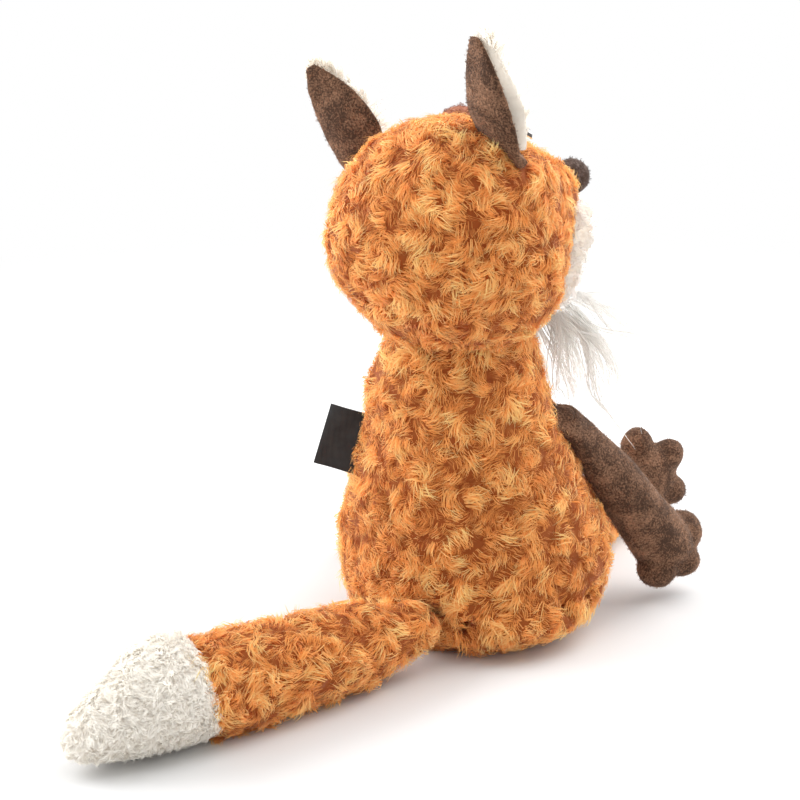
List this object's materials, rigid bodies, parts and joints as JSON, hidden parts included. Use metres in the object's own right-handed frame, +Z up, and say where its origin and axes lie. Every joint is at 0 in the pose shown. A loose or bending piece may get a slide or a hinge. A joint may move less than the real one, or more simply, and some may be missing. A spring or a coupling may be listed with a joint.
{
  "type": "plush fox",
  "caption": "Seated stuffed plush fox: the head turns, the arms, legs and tail swing on their seams, and the velour ears fold and spring back.",
  "frame": {"origin": "centre of the flat seat under the body, on the floor", "axes": "the fox's body faces -Y, its own left is +X, +Z is up"},
  "size_m": [0.1789, 0.4116, 0.2965],
  "materials": {
    "orange_plush": "matte curly pile",
    "white_plush": "matte pile",
    "brown_velour": "matte short pile",
    "rust_velour": "matte short pile",
    "polyester_wadding": "matte",
    "pellet_bag_canvas": "matte",
    "eye_plastic": "gloss",
    "washer_plastic": "matte",
    "label_satin": "satin"
  },
  "bodies": {
    "body": {"body_skin": "orange_plush", "body_filling": "polyester_wadding", "pellet_bag": "pellet_bag_canvas", "side_label": "label_satin"},
    "head": {"head_skin": "orange_plush", "head_filling": "polyester_wadding", "face_panel": "white_plush", "nose": "brown_velour", "beard": "white_plush", "eye_left": "eye_plastic", "eye_right": "eye_plastic", "eye_washer_left": "washer_plastic", "eye_washer_right": "washer_plastic", "eyelid_left": "rust_velour", "eyelid_right": "rust_velour"},
    "arm_right": {"arm_right": "brown_velour", "arm_filling_right": "polyester_wadding"},
    "arm_left": {"arm_left": "brown_velour", "arm_filling_left": "polyester_wadding"},
    "leg_right": {"leg_right": "orange_plush", "leg_filling_right": "polyester_wadding", "foot_right": "brown_velour", "foot_filling_right": "polyester_wadding"},
    "leg_left": {"leg_left": "orange_plush", "leg_filling_left": "polyester_wadding", "foot_left": "brown_velour", "foot_filling_left": "polyester_wadding"},
    "tail": {"tail_sleeve": "orange_plush", "tail_tip": "white_plush", "tail_filling": "polyester_wadding"},
    "ear_right": {"ear_back_right": "brown_velour", "ear_lining_right": "white_plush"},
    "ear_left": {"ear_back_left": "brown_velour", "ear_lining_left": "white_plush"}
  },
  "joints": [
    {"name": "neck_turn", "type": "hinge", "parent": "body", "child": "head", "pos_m": [0, 0.00711, 0.10297], "axis": [0, 0, 1], "range_deg": [-23, 67]},
    {"name": "shoulder_right", "type": "hinge", "parent": "body", "child": "arm_right", "pos_m": [-0.03884, -0.01263, 0.10489], "axis": [-0.8373, -0.3911, 0.3821], "range_deg": [-20, 60]},
    {"name": "shoulder_left", "type": "hinge", "parent": "body", "child": "arm_left", "pos_m": [0.03884, -0.01263, 0.10489], "axis": [-0.8373, 0.3911, -0.3821], "range_deg": [-20, 60]},
    {"name": "hip_right", "type": "hinge", "parent": "body", "child": "leg_right", "pos_m": [-0.02284, -0.06236, 0.0143], "axis": [-1, 0, 0], "range_deg": [-45, 20]},
    {"name": "hip_left", "type": "hinge", "parent": "body", "child": "leg_left", "pos_m": [0.02284, -0.06236, 0.0143], "axis": [-1, 0, 0], "range_deg": [-45, 20]},
    {"name": "tail_swing", "type": "hinge", "parent": "body", "child": "tail", "pos_m": [0, 0.06456, 0.02], "axis": [0, 0, 1], "range_deg": [-30, 86]},
    {"name": "ear_right", "type": "hinge", "parent": "head", "child": "ear_right", "pos_m": [-0.02843, 0.02525, 0.24429], "axis": [-0.7947, 0.3574, -0.4907], "range_deg": [-25, 25], "stiffness_Nm_per_rad": 0.03},
    {"name": "ear_left", "type": "hinge", "parent": "head", "child": "ear_left", "pos_m": [0.05122, -0.00693, 0.21885], "axis": [-0.4418, 0.1422, 0.8858], "range_deg": [-25, 25], "stiffness_Nm_per_rad": 0.03}
  ]
}
